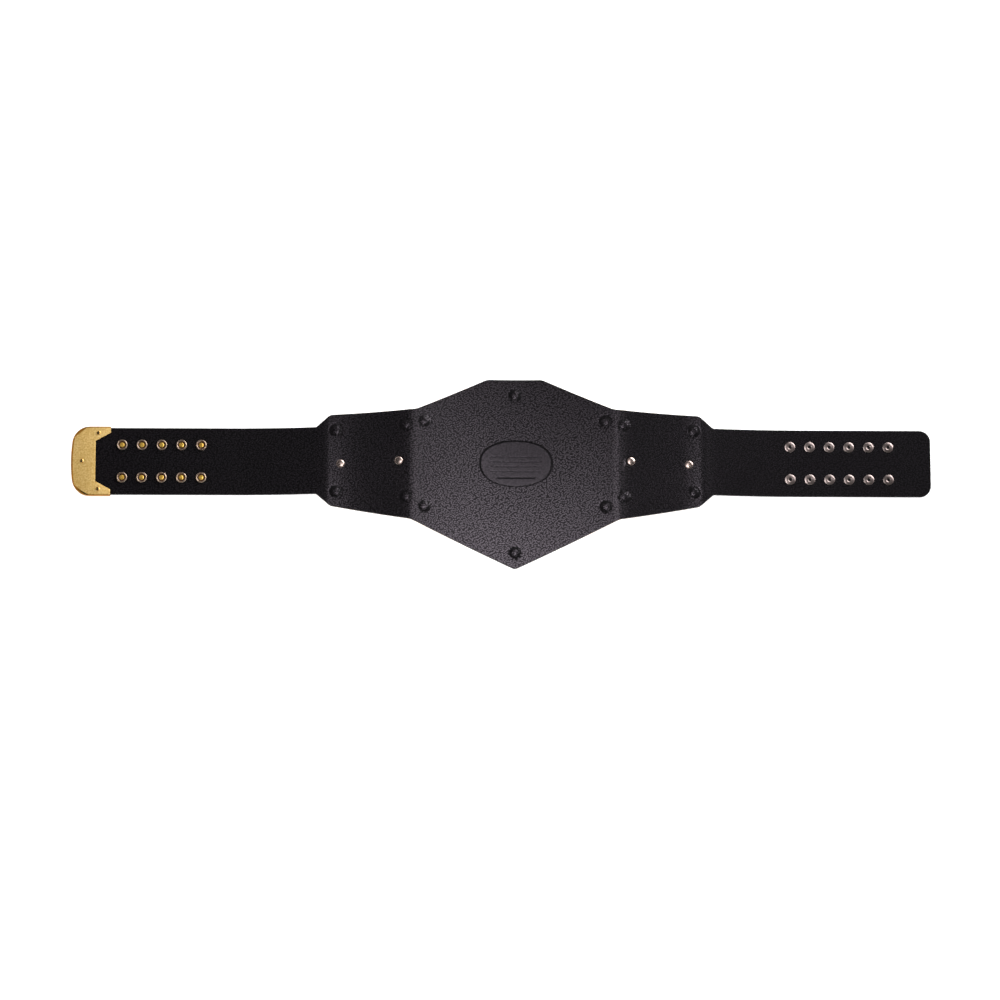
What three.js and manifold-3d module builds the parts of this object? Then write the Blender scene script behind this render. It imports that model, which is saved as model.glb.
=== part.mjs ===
// A championship title belt laid face down: a shaped leather strap with a glued lining, a curved
// main plate, two curved side plates, a tip cap at one end, and rows of snaps at both ends.
// Millimetres, +Z up. The belt lies along X with its lining up. The origin is the middle of the
// main plate's face, on the surface that the belt lies on.
import * as THREE from "three";
import { mergeVertices } from "three/addons/utils/BufferGeometryUtils.js";
import Module from "manifold-3d";

const wasm = await Module();
wasm.setup();

// Layers, from the face up to the lining
const gap = 0.3; // between any two pieces that touch
const strapThickness = 3;
const liningThickness = 1.5;
const plateBase = 3; // cast plates without their relief
const plateRelief = 1.2; // raised rim and middle of a cast plate

// Lengths along the belt, from the middle of the main plate
const mainPlateHalf = 145;
const shoulderX = 278.5; // outer corner of the side panels
const strapEndX = 630.5; // stud end
const tipEndX = -668.7; // tip cap

// Outline of the leather, seen from the lining side
const strapWidth = 102;
const shoulderHalf = 69.5;
const shoulderSlope = 21; // length over which the strap widens to the shoulder
const crestTop = { x: mainPlateHalf + 4, y: 78 }; // where a side panel meets the hexagon
const crestBottom = { x: mainPlateHalf + 9, y: -90 };
const topFlat = 83.5; // length of the hexagon's flat top
const topY = 127;
const bottomY = -163.5; // the hexagon's lower point
const cornerRadius = { top: 18, crest: 25, shoulder: 12, slope: 5, end: 17, bottom: 9 };

// Side view of the belt: how it curves as it lies
const mainCurveRadius = 520;
const ridgeMargin = 2.5; // the leather starts to bend this far beyond the main plate
const ridgeRadius = 20;
const sideInnerSlope = THREE.MathUtils.degToRad(12); // falling away from the ridge
const sideCurveRadius = 410;
const outerRidgeMargin = 1.5; // beyond the shoulder's corner
const outerRidgeRadius = 35;
const droopRun = 150; // length over which the strap sinks to the surface

// Main plate and side plates
const plateMargin = 9; // leather showing round the main plate
const rimWidth = 8;
const mainBoss = { x: 0, y: -8, halfX: 62, halfY: 46 };
const sidePlateMargin = 1.5; // between a side plate's outer edge and the shoulder's corner
const sidePlateHalf = { inner: 65, outer: 57 };
const sidePlateY = -1;
const sideRimWidth = 5.6;
const sideBossRadius = 34;
const plateCornerRadius = 6;

// Tip cap, a tray for the strap's end with a cover riveted over it
const tipLength = 59.3;
const tipArcRadius = 240;
const tipCornerRadius = 26.5;
const tipFloor = 3.2;
const tipCoverThickness = 1.5;
const pocketWall = 1.4; // the tray's side walls
const pocketEndWall = 2.7;
const pocketArcRadius = 270;
const pocketChamfer = { x: 18, y: 15 };
const pocketEndRoom = 3; // between the leather's end and the end of the pocket
const notch = { depth: 22.6, innerHalf: 31, outerHalf: 43.4 }; // the cover's cut-out

// Screws and rivets
const postRadius = 2.2;
const rivetPostRadius = 1.4;
const postClearance = 0.3;
const blindHoleDepth = 1.8;
const coveredHead = { radius: 5, height: 1.8 };
const bumpWall = 2.5; // how far the lining's bump spreads beyond a covered head
const exposedHead = { radius: 6.5, height: 3.3 };
const exposedHoleClearance = 0.9;
const rivetHead = { radius: 3.1, height: 1.5 };

// Snaps
const snapPitch = 29.8;
const snapRowGap = 49.8;
const capColumns = 5;
const capFromTip = 17.3; // from the tip cap's inner edge to the first cap
const studColumns = 6;
const studFromEnd = 64.5; // from the strap's end to the last stud
const snapRadius = 8;
const socketHeight = 2.2;
const capHeight = 2.5;
const studHeight = 3.5;
const eyeletHeight = 1.2;

// Oval pressed into the lining
const oval = { x: 2, y: -2, halfX: 55.8, halfY: 36, depth: 0.5 };
const ovalPower = 2.2; // 2 is an ellipse, and more is boxier

// Faceting: the steps of each bend and the sides of each round
const mainSteps = 7; // on each side of the flat middle facet
const ridgeSteps = 3;
const sideSteps = 5;
const outerRidgeSteps = 2;
const droopSteps = 5;
const cornerStep = THREE.MathUtils.degToRad(20); // the most that one facet of a corner turns
const tipArcSteps = 4;
const snapSides = 10;
const screwSides = 8;
const postHoleSides = 6;
const ovalSides = 36;

// Heights above the strap's face, counted along its normal
const liningBottom = strapThickness + gap;
const liningTop = liningBottom + liningThickness;
const plateBack = -gap;
const plateFace = plateBack - plateBase - plateRelief;

const gold = new THREE.MeshStandardMaterial({ color: 0xd4a55c, metalness: 1, roughness: 0.28 });
const nickel = new THREE.MeshStandardMaterial({ color: 0xb9aaa4, metalness: 1, roughness: 0.25 });
const leather = new THREE.MeshStandardMaterial({ color: 0x171518, metalness: 0, roughness: 0.6 });
const lining = new THREE.MeshStandardMaterial({ color: 0x1d1b1e, metalness: 0, roughness: 0.5 });

// A closed geometry as a solid that can be joined and cut
function toSolid(geometry) {
  const bare = geometry.index ? geometry.toNonIndexed() : geometry.clone();
  bare.deleteAttribute("normal");
  bare.deleteAttribute("uv");
  const merged = mergeVertices(bare, 1e-4);
  return new wasm.Manifold(
    new wasm.Mesh({
      numProp: 3,
      vertProperties: merged.attributes.position.array,
      triVerts: new Uint32Array(merged.index.array),
    }),
  );
}

function toGeometry(solid) {
  const mesh = solid.getMesh();
  const geometry = new THREE.BufferGeometry();
  geometry.setAttribute("position", new THREE.BufferAttribute(mesh.vertProperties, 3));
  geometry.setIndex(new THREE.BufferAttribute(mesh.triVerts, 1));
  geometry.computeVertexNormals();
  return geometry;
}

function named(name, geometry, material) {
  const mesh = new THREE.Mesh(geometry, material);
  mesh.name = name;
  return mesh;
}

// The belt's line in side view, from the middle out to one end, as points {x, z, slope}.
// Each bend is an arc: radius, the slope it ends at, and its number of steps.
function halfLine(endLevel) {
  const plateSlope = Math.asin((mainPlateHalf + ridgeMargin) / mainCurveRadius);
  const middleSlope = plateSlope / (2 * mainSteps + 1); // the middle facet lies flat
  const rise = mainCurveRadius * (1 - Math.cos(middleSlope)); // of the curve over half the facet
  const points = [];
  let at = { x: 0, z: -plateFace * Math.cos(middleSlope) - rise, slope: 0 };
  const bend = (radius, endSlope, steps) => {
    const from = at;
    const turn = Math.sign(endSlope - from.slope) * radius;
    for (let i = 1; i <= steps; i++) {
      const slope = from.slope + ((endSlope - from.slope) * i) / steps;
      at = {
        x: from.x + turn * (Math.sin(slope) - Math.sin(from.slope)),
        z: from.z + turn * (Math.cos(from.slope) - Math.cos(slope)),
        slope,
      };
      points.push(at);
    }
  };
  bend(mainCurveRadius, middleSlope, 1);
  bend(mainCurveRadius, plateSlope, mainSteps);
  bend(ridgeRadius, -sideInnerSlope, ridgeSteps);
  const sideRun = shoulderX + outerRidgeMargin - at.x;
  const sideOuterSlope = Math.asin(sideRun / sideCurveRadius - Math.sin(sideInnerSlope));
  bend(sideCurveRadius, sideOuterSlope, sideSteps);
  const droopSlope = 2 * Math.atan((at.z - endLevel) / droopRun);
  bend(outerRidgeRadius, -droopSlope, outerRidgeSteps);
  bend((at.z - endLevel) / (1 - Math.cos(droopSlope)), 0, droopSteps);
  points.push({ x: at.x + strapEndX - tipEndX, z: at.z, slope: 0 }); // beyond either end
  return points;
}

// The whole line: one end lies in the tip cap, and the other stands on its studs
const tipLevel = tipFloor + gap;
const studLevel = studHeight + gap;
const mirrored = ({ x, z, slope }) => ({ x: -x, z, slope: -slope });
const line = [...halfLine(tipLevel).reverse().map(mirrored), ...halfLine(studLevel)];

// Height and slope of the line above a plan position
function seat(x) {
  const i = line.findIndex((point) => point.x > x);
  const [a, b] = [line[i - 1], line[i]];
  const share = (x - a.x) / (b.x - a.x);
  return {
    z: THREE.MathUtils.lerp(a.z, b.z, share),
    slope: THREE.MathUtils.lerp(a.slope, b.slope, share),
  };
}

// A place on the strap's face, with its Z axis along the strap's normal
function place(x, y) {
  const { z, slope } = seat(x);
  return new THREE.Matrix4().makeRotationY(-slope).setPosition(x, y, z);
}

// A curved sheet that follows the line between two heights above the strap's face
function sheet(low, high) {
  const reach = topY - bottomY; // wider than the belt to either side
  const offset = (height) => ({ x, z, slope }) =>
    new THREE.Vector2(x - height * Math.sin(slope), z + height * Math.cos(slope));
  const section = [...line.map(offset(low)), ...line.map(offset(high)).reverse()];
  const geometry = new THREE.ExtrudeGeometry(new THREE.Shape(section), {
    depth: 2 * reach,
    bevelEnabled: false,
  });
  return toSolid(geometry.rotateX(Math.PI / 2).translate(0, reach, 0));
}

// A flat outline as an upright block
function prism(shape, low, high) {
  const geometry = new THREE.ExtrudeGeometry(shape, {
    depth: high - low,
    bevelEnabled: false,
    curveSegments: tipArcSteps,
  });
  return toSolid(geometry.translate(0, 0, low));
}

// A flat outline as a block that reaches below and above the whole belt
function tallPrism(shape) {
  const height = topY - bottomY;
  return prism(shape, -height, height);
}

// A flat outline through corners {x, y, r}, each rounded by an arc where r is given
function roundedShape(corners) {
  const points = corners.flatMap(({ x, y, r }, i) => {
    const corner = new THREE.Vector2(x, y);
    if (!r) return [corner];
    const before = corners.at(i - 1);
    const after = corners[(i + 1) % corners.length];
    const back = new THREE.Vector2(before.x, before.y).sub(corner).normalize();
    const onward = new THREE.Vector2(after.x, after.y).sub(corner).normalize();
    const half = Math.acos(back.dot(onward)) / 2;
    const inward = back.clone().add(onward).normalize();
    const centre = corner.clone().addScaledVector(inward, r / Math.sin(half));
    const turn = Math.PI - 2 * half;
    const steps = Math.ceil(turn / cornerStep);
    const middle = inward.angle() + Math.PI;
    const sense = Math.sign(onward.cross(back));
    return Array.from({ length: steps + 1 }, (_, k) => {
      const angle = middle + sense * turn * (k / steps - 0.5);
      return new THREE.Vector2(r * Math.cos(angle), r * Math.sin(angle)).add(centre);
    });
  });
  return new THREE.Shape(points);
}

// An oval outline: power 2 is an ellipse, and more is boxier
function ovalShape({ x, y, halfX, halfY }, power) {
  const points = Array.from({ length: ovalSides }, (_, i) => {
    const angle = (2 * Math.PI * i) / ovalSides;
    const [c, s] = [Math.cos(angle), Math.sin(angle)];
    return new THREE.Vector2(
      x + halfX * Math.sign(c) * Math.abs(c) ** (2 / power),
      y + halfY * Math.sign(s) * Math.abs(s) ** (2 / power),
    );
  });
  return new THREE.Shape(points);
}

// A turned solid round Z from [radius, height] pairs that run from the lower axis to the upper
function turned(profile, sides) {
  const points = profile.map(([radius, height]) => new THREE.Vector2(radius, height));
  return new THREE.LatheGeometry(points, sides).rotateX(Math.PI / 2);
}

// A hole along the strap's normal whose flats clear a round piece of the given radius
function bore({ x, y }, radius, low, high, sides) {
  const corner = radius / Math.cos(Math.PI / sides);
  const geometry = new THREE.CylinderGeometry(corner, corner, high - low, sides);
  geometry.rotateX(Math.PI / 2).translate(0, 0, (low + high) / 2);
  return toSolid(geometry.applyMatrix4(place(x, y)));
}

function postHoles(spots, radius, low, high) {
  return spots.map((spot) => bore(spot, radius + postClearance, low, high, postHoleSides));
}

const cutAll = (solid, cutters) => cutters.reduce((left, cutter) => left.subtract(cutter), solid);
const joinAll = (solid, others) => others.reduce((whole, other) => whole.add(other), solid);
const through = 1; // how far a cutter reaches past a face

// The main plate's edges keep a margin inside the hexagon of the leather
function mainPlateCorners(margin) {
  const edge = (from, to, inwards) => {
    const slope = (to.y - from.y) / (to.x - from.x);
    const shift = inwards * margin * Math.hypot(1, slope);
    return { slope, at: (x) => from.y + slope * (x - from.x) + shift };
  };
  const upper = edge({ x: topFlat / 2, y: topY }, crestTop, -1);
  const lower = edge({ x: 0, y: bottomY }, crestBottom, 1);
  const endX = mainPlateHalf + plateMargin - margin;
  const top = topY - margin;
  const topX = (top - upper.at(0)) / upper.slope;
  const rightHalf = [
    { x: topX, y: top },
    { x: endX, y: upper.at(endX) },
    { x: endX, y: lower.at(endX) },
  ];
  const leftHalf = rightHalf.map(({ x, y }) => ({ x: -x, y })).reverse();
  const corners = [...rightHalf, { x: 0, y: lower.at(0) }, ...leftHalf];
  return corners.map((corner) => ({ ...corner, r: plateCornerRadius }));
}

// A side plate is tapered like the panel that it sits on, from just past the ridge to the shoulder
const ridgeEnd = line.findIndex(({ x }) => x > mainPlateHalf + ridgeMargin + gap) + ridgeSteps - 1;
const sidePlate = {
  inner: line[ridgeEnd].x + 2 * gap,
  outer: shoulderX - sidePlateMargin,
};
function sidePlateCorners(inset) {
  const inner = sidePlate.inner + inset;
  const outer = sidePlate.outer - inset;
  const corners = [
    { x: inner, y: sidePlateY + sidePlateHalf.inner - inset },
    { x: outer, y: sidePlateY + sidePlateHalf.outer - inset },
    { x: outer, y: sidePlateY - sidePlateHalf.outer + inset },
    { x: inner, y: sidePlateY - sidePlateHalf.inner + inset },
  ];
  return corners.map((corner) => ({ ...corner, r: plateCornerRadius }));
}

// Screws sit inside the plates' edges
const mainScrewX = mainPlateHalf - 8;
const sideScrewX = { inner: sidePlate.inner + 7, outer: sidePlate.outer - 6.5 };
const mainScrews = [
  { name: "top", x: 0, y: topY - 24 },
  { name: "bottom", x: 0, y: bottomY + 25 },
  { name: "top_left", x: -mainScrewX, y: crestTop.y - 18 },
  { name: "top_right", x: mainScrewX, y: crestTop.y - 18 },
  { name: "bottom_left", x: -mainScrewX, y: crestBottom.y + 19.5 },
  { name: "bottom_right", x: mainScrewX, y: crestBottom.y + 19.5 },
];
const sideScrews = [
  { name: "inner_top", x: sideScrewX.inner, y: sidePlateY + sidePlateHalf.inner - 10 },
  { name: "inner_bottom", x: sideScrewX.inner, y: sidePlateY - sidePlateHalf.inner + 10 },
  { name: "outer_top", x: sideScrewX.outer, y: sidePlateY + sidePlateHalf.outer - 10 },
  { name: "outer_bottom", x: sideScrewX.outer, y: sidePlateY - sidePlateHalf.outer + 10 },
];
const exposedScrews = [
  { name: "inner", x: sidePlate.inner + 16.5, y: sidePlateY },
  { name: "outer", x: sidePlate.outer - 14, y: sidePlateY - 4 },
];
const sides = [
  { side: "left", sign: -1 },
  { side: "right", sign: 1 },
];
const onSide = (sign, spots) => spots.map((spot) => ({ ...spot, x: sign * spot.x }));
const onBothSides = (spots) => sides.flatMap(({ sign }) => onSide(sign, spots));
const coveredSpots = [...mainScrews, ...onBothSides(sideScrews)];
const exposedSpots = onBothSides(exposedScrews);

// Rivets of the tip cap: one near its end, and one in each arm
const rivetInset = { end: 16.3, arm: 18.3, edge: 8 };
const tipInnerX = tipEndX + tipLength;
const rivets = [
  { name: "middle", x: tipEndX + rivetInset.end, y: 0 },
  { name: "top", x: tipInnerX - rivetInset.arm, y: strapWidth / 2 - rivetInset.edge },
  { name: "bottom", x: tipInnerX - rivetInset.arm, y: rivetInset.edge - strapWidth / 2 },
];

// Snaps in two rows, counted away from the first column
function snapSpots(firstX, columns) {
  const rows = [["top", snapRowGap / 2], ["bottom", -snapRowGap / 2]];
  return rows.flatMap(([row, y]) =>
    Array.from({ length: columns }, (_, i) => ({
      name: `${row}_${i + 1}`,
      x: firstX + i * snapPitch,
      y,
    })),
  );
}
const capSpots = snapSpots(tipInnerX + capFromTip, capColumns);
const studSpots = snapSpots(strapEndX - studFromEnd - (studColumns - 1) * snapPitch, studColumns);

// The leather's outline, with cut corners where its end lies in the tip cap
function leatherShape() {
  const half = strapWidth / 2;
  const leatherEndX = tipEndX + pocketEndWall + gap + pocketEndRoom;
  const slopeX = shoulderX + shoulderSlope;
  const panel = (sign, y) => [
    { x: sign * slopeX, y: Math.sign(y) * half, r: cornerRadius.slope },
    { x: sign * shoulderX, y, r: cornerRadius.shoulder },
  ];
  return roundedShape([
    { x: -topFlat / 2, y: topY, r: cornerRadius.top },
    { x: topFlat / 2, y: topY, r: cornerRadius.top },
    { ...crestTop, r: cornerRadius.crest },
    ...panel(1, shoulderHalf).reverse(),
    { x: strapEndX, y: half, r: cornerRadius.end },
    { x: strapEndX, y: -half, r: cornerRadius.end },
    ...panel(1, -shoulderHalf),
    { ...crestBottom, r: cornerRadius.crest },
    { x: 0, y: bottomY, r: cornerRadius.bottom },
    { ...crestBottom, x: -crestBottom.x, r: cornerRadius.crest },
    ...panel(-1, -shoulderHalf).reverse(),
    { x: leatherEndX + pocketChamfer.x, y: -half },
    { x: leatherEndX, y: pocketChamfer.y - half },
    { x: leatherEndX, y: half - pocketChamfer.y },
    { x: leatherEndX + pocketChamfer.x, y: half },
    ...panel(-1, shoulderHalf),
    { ...crestTop, x: -crestTop.x, r: cornerRadius.crest },
  ]);
}

// Holes of the snaps and rivets, which go through both layers of leather
function leatherHoles(low, high) {
  return [
    ...postHoles([...capSpots, ...studSpots], postRadius, low, high),
    ...postHoles(rivets, rivetPostRadius, low, high),
  ];
}

function strap() {
  const body = sheet(0, strapThickness).intersect(tallPrism(leatherShape()));
  const screws = [...coveredSpots, ...exposedSpots];
  const ends = [-through, strapThickness + through];
  return toGeometry(cutAll(body, [...leatherHoles(...ends), ...postHoles(screws, postRadius, ...ends)]));
}

// The lining bulges over each covered screw head and is cut round for each exposed one
function liningSheet() {
  const body = sheet(liningBottom, liningTop).intersect(tallPrism(leatherShape()));
  const low = liningBottom - through;
  const high = liningTop + through;
  const hollowTop = liningBottom + coveredHead.height + gap;
  const bumpTop = hollowTop + liningThickness;
  const profile = [
    [0, liningBottom + liningThickness / 2],
    [coveredHead.radius + bumpWall, liningBottom + liningThickness / 2],
    [coveredHead.radius + gap + bumpWall, liningTop],
    [coveredHead.radius + gap + bumpWall / 4, bumpTop - gap],
    [0, bumpTop],
  ];
  const bumps = coveredSpots.map(({ x, y }) =>
    toSolid(turned(profile, screwSides).applyMatrix4(place(x, y))),
  );
  const hollows = coveredSpots.map((spot) =>
    bore(spot, coveredHead.radius + gap, low, hollowTop, screwSides),
  );
  const windows = exposedSpots.map((spot) =>
    bore(spot, exposedHead.radius + exposedHoleClearance, low, high, snapSides),
  );
  const stamp = sheet(liningTop - oval.depth, high).intersect(tallPrism(ovalShape(oval, ovalPower)));
  return toGeometry(
    cutAll(joinAll(body, bumps), [...leatherHoles(low, high), ...hollows, ...windows, stamp]),
  );
}

// A cast plate on the face of the strap: its front is sunk between a raised rim and a raised middle
function castPlate(outline, rimInside, boss, screws) {
  const block = sheet(plateFace, plateBack).intersect(tallPrism(outline));
  const sunkArea = tallPrism(rimInside).subtract(tallPrism(boss));
  const sunk = sheet(plateFace - through, plateFace + plateRelief).intersect(sunkArea);
  const holes = postHoles(screws, postRadius, plateBack - blindHoleDepth, plateBack + through);
  return toGeometry(cutAll(block, [sunk, ...holes]));
}

function mainPlate() {
  return castPlate(
    roundedShape(mainPlateCorners(plateMargin)),
    roundedShape(mainPlateCorners(plateMargin + rimWidth)),
    ovalShape(mainBoss, 2),
    mainScrews,
  );
}

function sidePlateAt(sign) {
  const x = (sign * (sidePlate.inner + sidePlate.outer)) / 2;
  const boss = { x, y: sidePlateY, halfX: sideBossRadius, halfY: sideBossRadius };
  return castPlate(
    roundedShape(onSide(sign, sidePlateCorners(0))),
    roundedShape(onSide(sign, sidePlateCorners(sideRimWidth))),
    ovalShape(boss, 2),
    onSide(sign, [...sideScrews, ...exposedScrews]),
  );
}

// The tip cap's outline: a bowed end with rounded corners
const pocketHalf = strapWidth / 2 + gap;
const tipHalf = pocketHalf + pocketWall;
function tipShape() {
  const bowX = tipEndX + tipArcRadius;
  const cornerY = tipHalf - tipCornerRadius;
  const cornerX = bowX - Math.sqrt((tipArcRadius - tipCornerRadius) ** 2 - cornerY ** 2);
  const lean = Math.atan2(cornerY, bowX - cornerX);
  const shape = new THREE.Shape();
  shape.moveTo(tipInnerX, -tipHalf);
  shape.lineTo(tipInnerX, tipHalf);
  shape.absarc(cornerX, cornerY, tipCornerRadius, Math.PI / 2, Math.PI - lean, false);
  shape.absarc(bowX, 0, tipArcRadius, Math.PI - lean, Math.PI + lean, false);
  shape.absarc(cornerX, -cornerY, tipCornerRadius, Math.PI + lean, (3 * Math.PI) / 2, false);
  return shape;
}

// The pocket's outline drawn in by an inset, with its open end given as points from below upwards
function pocketShape(inset, openEnd) {
  const half = pocketHalf - inset;
  const bowX = tipEndX + pocketEndWall + inset;
  const cutY = half - pocketChamfer.y;
  const lean = Math.asin(cutY / pocketArcRadius);
  const chamferX = bowX + pocketArcRadius * (1 - Math.cos(lean)) + pocketChamfer.x;
  const shape = new THREE.Shape(openEnd.map(([x, y]) => new THREE.Vector2(x, y)));
  shape.lineTo(chamferX, half);
  shape.absarc(bowX + pocketArcRadius, 0, pocketArcRadius, Math.PI - lean, Math.PI + lean, false);
  shape.lineTo(chamferX, -half);
  return shape;
}

const coverBottom = tipLevel + liningTop + gap;
const coverTop = coverBottom + tipCoverThickness;

function tipTray() {
  const openX = tipInnerX + through;
  const pocket = pocketShape(0, [[openX, -pocketHalf], [openX, pocketHalf]]);
  const body = prism(tipShape(), 0, coverTop).subtract(prism(pocket, tipFloor, coverTop + through));
  return toGeometry(cutAll(body, postHoles(rivets, rivetPostRadius, -gap - blindHoleDepth, through)));
}

function tipCover() {
  const half = pocketHalf - gap;
  const notchX = tipInnerX - notch.depth;
  const outline = pocketShape(gap, [
    [tipInnerX, -half],
    [tipInnerX, -notch.outerHalf],
    [notchX, -notch.innerHalf],
    [notchX, notch.innerHalf],
    [tipInnerX, notch.outerHalf],
    [tipInnerX, half],
  ]);
  const ends = [coverBottom - tipLevel - through, coverTop - tipLevel + through];
  const body = prism(outline, coverBottom, coverTop);
  return toGeometry(cutAll(body, postHoles(rivets, rivetPostRadius, ...ends)));
}

// A screw or rivet as it stands on the strap's normal: its post, and a domed head from its seat up.
// The dome is given as shares of the head's radius and height.
function headed(postEnd, radius, seatHeight, head, dome, sideCount) {
  return turned(
    [
      [0, postEnd],
      [radius, postEnd],
      [radius, seatHeight],
      [head.radius, seatHeight],
      ...dome.map(([across, up]) => [across * head.radius, seatHeight + up * head.height]),
    ],
    sideCount,
  );
}
const flatDome = [[0.85, 0.75], [0, 1]];
const roundDome = [[1, 0.25], [0.8, 0.68], [0.42, 0.94], [0, 1]];
const screwEnd = -blindHoleDepth; // leaves the gap below it in the plate's blind hole

// A domed cap on the face, its post through the leather, and the ring socket on the lining
function capSnap() {
  const back = liningTop + gap;
  return turned(
    [
      [0, -gap - capHeight],
      [snapRadius * 0.65, -gap - capHeight * 0.82],
      [snapRadius * 0.96, -gap],
      [postRadius, -gap],
      [postRadius, back],
      [snapRadius, back],
      [snapRadius * 0.88, back + socketHeight],
      [snapRadius * 0.62, back + socketHeight * 0.3],
      [snapRadius * 0.3, back + socketHeight * 0.3],
      [0, back + socketHeight * 0.62],
    ],
    snapSides,
  );
}

// A stud on the face, its post through the leather, and the eyelet flange on the lining
function studSnap() {
  const back = liningTop + gap;
  return turned(
    [
      [0, -gap - studHeight],
      [snapRadius * 0.38, -gap - studHeight],
      [snapRadius * 0.33, -gap - studHeight * 0.35],
      [snapRadius * 0.8, -gap],
      [postRadius, -gap],
      [postRadius, back],
      [snapRadius, back],
      [snapRadius * 0.5, back + eyeletHeight],
      [snapRadius * 0.19, back - eyeletHeight],
      [0, back - eyeletHeight],
    ],
    snapSides,
  );
}

// One named mesh at each spot, turned to the strap's normal there
function meshesAt(spots, prefix, geometry, material) {
  return spots.map(({ name, x, y }) => {
    const mesh = named(`${prefix}_${name}`, geometry, material);
    mesh.applyMatrix4(place(x, y));
    return mesh;
  });
}

const coveredScrew = headed(screwEnd, postRadius, liningBottom, coveredHead, flatDome, screwSides);
const exposedScrew = headed(screwEnd, postRadius, liningBottom, exposedHead, roundDome, snapSides);
const rivetSeat = liningTop + gap + tipCoverThickness + gap;
const rivet = headed(screwEnd, rivetPostRadius, rivetSeat, rivetHead, flatDome, screwSides);

const belt = new THREE.Group();
belt.add(
  named("strap_leather", strap(), leather),
  named("lining_leather", liningSheet(), lining),
  named("main_plate", mainPlate(), gold),
  ...sides.map(({ side, sign }) => named(`side_plate_${side}`, sidePlateAt(sign), gold)),
  named("tip_tray", tipTray(), gold),
  named("tip_cover", tipCover(), gold),
  ...meshesAt(rivets, "tip_rivet", rivet, gold),
  ...meshesAt(capSpots, "snap_cap", capSnap(), gold),
  ...meshesAt(studSpots, "snap_stud", studSnap(), nickel),
  ...meshesAt(mainScrews, "main_screw", coveredScrew, nickel),
  ...sides.flatMap(({ side, sign }) => [
    ...meshesAt(onSide(sign, sideScrews), `side_screw_${side}`, coveredScrew, nickel),
    ...meshesAt(onSide(sign, exposedScrews), `insert_screw_${side}`, exposedScrew, nickel),
  ]),
);

export default belt;
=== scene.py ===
import math

import bmesh
import bpy
from mathutils import Matrix, Vector


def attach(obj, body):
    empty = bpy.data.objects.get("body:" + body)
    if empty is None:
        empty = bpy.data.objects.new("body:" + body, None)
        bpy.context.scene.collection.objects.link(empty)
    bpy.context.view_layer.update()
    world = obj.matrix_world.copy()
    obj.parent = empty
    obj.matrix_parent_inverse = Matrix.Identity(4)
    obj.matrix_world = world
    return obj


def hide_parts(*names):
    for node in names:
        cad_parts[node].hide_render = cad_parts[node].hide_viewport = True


# A championship title belt laid face down on a white table, seen on its lining side. Pieces are
# shaped in millimetres, and each is brought to metres when its mesh is done.
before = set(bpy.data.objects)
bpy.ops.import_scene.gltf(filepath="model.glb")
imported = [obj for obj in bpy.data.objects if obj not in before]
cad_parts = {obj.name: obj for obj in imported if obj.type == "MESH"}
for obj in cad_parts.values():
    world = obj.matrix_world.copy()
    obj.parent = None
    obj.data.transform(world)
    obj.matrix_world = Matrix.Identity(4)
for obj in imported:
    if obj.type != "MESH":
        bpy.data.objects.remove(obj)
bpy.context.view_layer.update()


# The strap: one length of 3 mm black harness leather, cut with a hexagonal middle and two side
# panels. It lies over its curved plates, so it takes their bends and sinks to the table at both
# ends. Its edges are shaved round and dyed.
plate_depth = 4.5  # from the strap's face to the front of a plate
strap_thickness = 3.0
crest_x = 147.5  # where the leather starts to bend over the end of the main plate
main_radius = 520.0  # of the bow over the main plate
ridge_radius = 26.0  # softer than the CAD's, for the light turns over gently there
panel_slope = math.radians(12)  # of the side panels where they leave the main plate
panel_radius = 410.0
panel_end_x = 280.0
panel_end_radius = 35.0
droop_length = 150.0  # over which the straps sink to the table
tip_level = 3.5  # height of the strap's face in the tip cap
stud_level = 3.8  # and where it stands on its studs


def bends_towards(end_level):
    """The bends of one half of the belt from the middle out, as (x, z, slope, turn, end x, end z,
    end slope). A turn is the bend's radius, and negative where the belt turns down."""
    bends = []

    def bend(radius, end_slope):
        x, z, slope = bends[-1][4:] if bends else (0.0, plate_depth, 0.0)
        turn = math.copysign(radius, end_slope - slope)
        end_x = x + turn * (math.sin(end_slope) - math.sin(slope))
        end_z = z + turn * (math.cos(slope) - math.cos(end_slope))
        bends.append((x, z, slope, turn, end_x, end_z, end_slope))
        return end_x, end_z

    bend(main_radius, math.asin(crest_x / main_radius))
    ridge_x, _ = bend(ridge_radius, -panel_slope)
    run = panel_end_x - ridge_x
    _, panel_z = bend(panel_radius, math.asin(run / panel_radius - math.sin(panel_slope)))
    droop = 2 * math.atan((panel_z - end_level) / droop_length)
    _, droop_z = bend(panel_end_radius, -droop)
    bend((droop_z - end_level) / (1 - math.cos(droop)), 0.0)
    return bends


belt_bends = {-1: bends_towards(tip_level), 1: bends_towards(stud_level)}


def line_at(x):
    """Height and slope of the strap's face above a place on the table."""
    side = 1 if x > 0 else -1
    for from_x, from_z, from_slope, turn, to_x, to_z, _ in belt_bends[side]:
        if abs(x) < to_x:
            slope = math.asin(math.sin(from_slope) + (abs(x) - from_x) / turn)
            return from_z + turn * (math.cos(from_slope) - math.cos(slope)), side * slope
    return to_z, 0.0


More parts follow.
